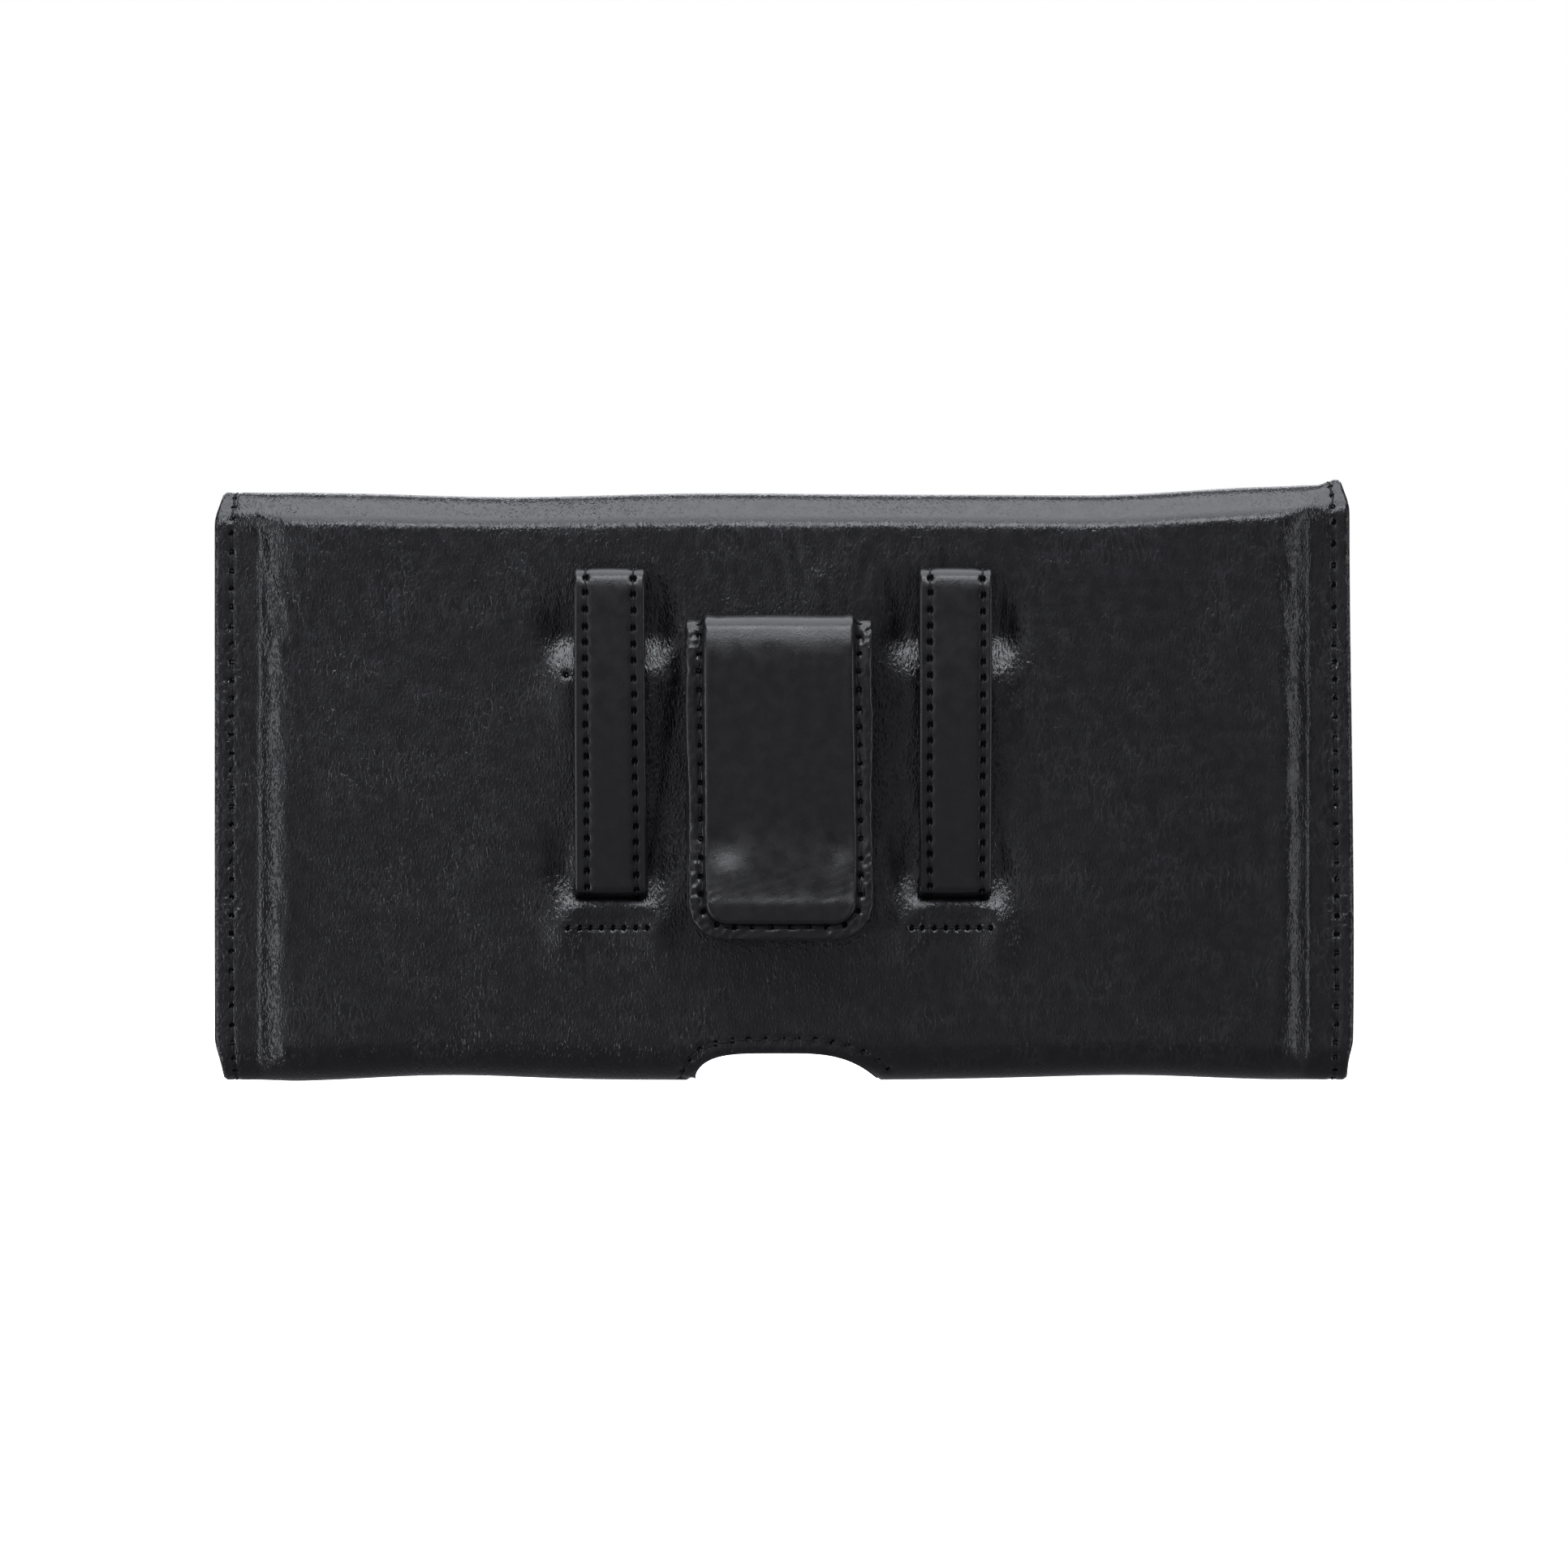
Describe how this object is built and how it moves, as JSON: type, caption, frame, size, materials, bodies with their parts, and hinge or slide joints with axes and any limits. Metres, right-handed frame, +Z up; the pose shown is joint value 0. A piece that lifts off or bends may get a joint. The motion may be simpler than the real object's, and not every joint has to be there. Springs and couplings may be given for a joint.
{
  "type": "phone belt holster",
  "caption": "Horizontal leather belt holster for a phone, with a magnetic fold-over flap, elastic sides, belt loops, a covered spring clip and a thumb notch.",
  "frame": {"origin": "middle of the underside of the whole holster's bounding box, as it is worn", "axes": "+X along the holster's length, to the right as seen from the belt side; +Z up as worn; -Y is the belt side with the loops and clip, +Y the flap side"},
  "size_m": [0.18, 0.0332, 0.0934],
  "materials": {
    "body_leather": "black corrected-grain leather, semi-gloss, fine pebble",
    "trim_leather": "smoother black leather, satin",
    "lining": "black brushed synthetic lining",
    "board": "stiff fibre board",
    "elastic": "black ribbed elastic webbing",
    "thread": "black bonded sewing thread",
    "spring_steel": "blued and oiled spring steel",
    "magnet": "nickel-plated disc"
  },
  "bodies": {
    "pouch": {"back_leather": "body_leather", "back_board": "board", "clip_backing_plate": "spring_steel", "back_lining": "lining", "elastic_gusset_left": "elastic", "elastic_gusset_right": "elastic", "side_seam_thread_left": "thread", "side_seam_thread_right": "thread", "notch_thread_back": "thread", "notch_thread_front": "thread", "left_loop_strap": "trim_leather", "left_loop_lining": "trim_leather", "left_loop_thread_left": "thread", "left_loop_thread_right": "thread", "left_loop_anchor_thread_lower": "thread", "left_loop_anchor_thread_upper": "thread", "right_loop_strap": "trim_leather", "right_loop_lining": "trim_leather", "right_loop_thread_left": "thread", "right_loop_thread_right": "thread", "right_loop_anchor_thread_lower": "thread", "right_loop_anchor_thread_upper": "thread", "clip_spring_base": "spring_steel", "clip_cover_tongue": "trim_leather", "clip_rivet_upper": "spring_steel", "clip_rivet_lower": "spring_steel"},
    "spine": {"spine_leather": "body_leather", "spine_lining": "lining", "spine_seam_thread_left": "thread", "spine_seam_thread_right": "thread"},
    "flap": {"flap_leather": "body_leather", "flap_board": "board", "flap_magnet": "magnet", "flap_lining": "lining", "flap_seam_thread": "thread"},
    "front": {"front_leather": "body_leather", "front_board": "board", "front_magnet": "magnet", "front_lining": "lining", "front_seam_thread": "thread"},
    "clip_arm": {"clip_spring_arm": "spring_steel", "clip_cover_outer": "trim_leather", "clip_cover_inner": "trim_leather", "clip_cover_thread": "thread"}
  },
  "joints": [
    {"name": "spine_fold", "type": "hinge", "parent": "pouch", "child": "spine", "pos_m": [0, -0.00451, 0.0875], "axis": [1, 0, 0], "range_deg": [0, 100], "stiffness_Nm_per_rad": 0.004, "springref_deg": -11.46},
    {"name": "flap_fold", "type": "hinge", "parent": "spine", "child": "flap", "pos_m": [0, 0.01629, 0.0875], "axis": [1, 0, 0], "range_deg": [0, 130], "stiffness_Nm_per_rad": 0.004, "springref_deg": -20.05},
    {"name": "front_give", "type": "hinge", "parent": "pouch", "child": "front", "pos_m": [0, 0.01229, 0.0075], "axis": [1, 0, 0], "range_deg": [0, 4], "stiffness_Nm_per_rad": 0.02, "springref_deg": -5.73, "deforming": ["elastic_gusset_left", "elastic_gusset_right"]},
    {"name": "clip_flex", "type": "hinge", "parent": "pouch", "child": "clip_arm", "pos_m": [-0.0008, -0.01421, 0.0665], "axis": [-1, 0, 0], "range_deg": [0, 12], "stiffness_Nm_per_rad": 1}
  ]
}
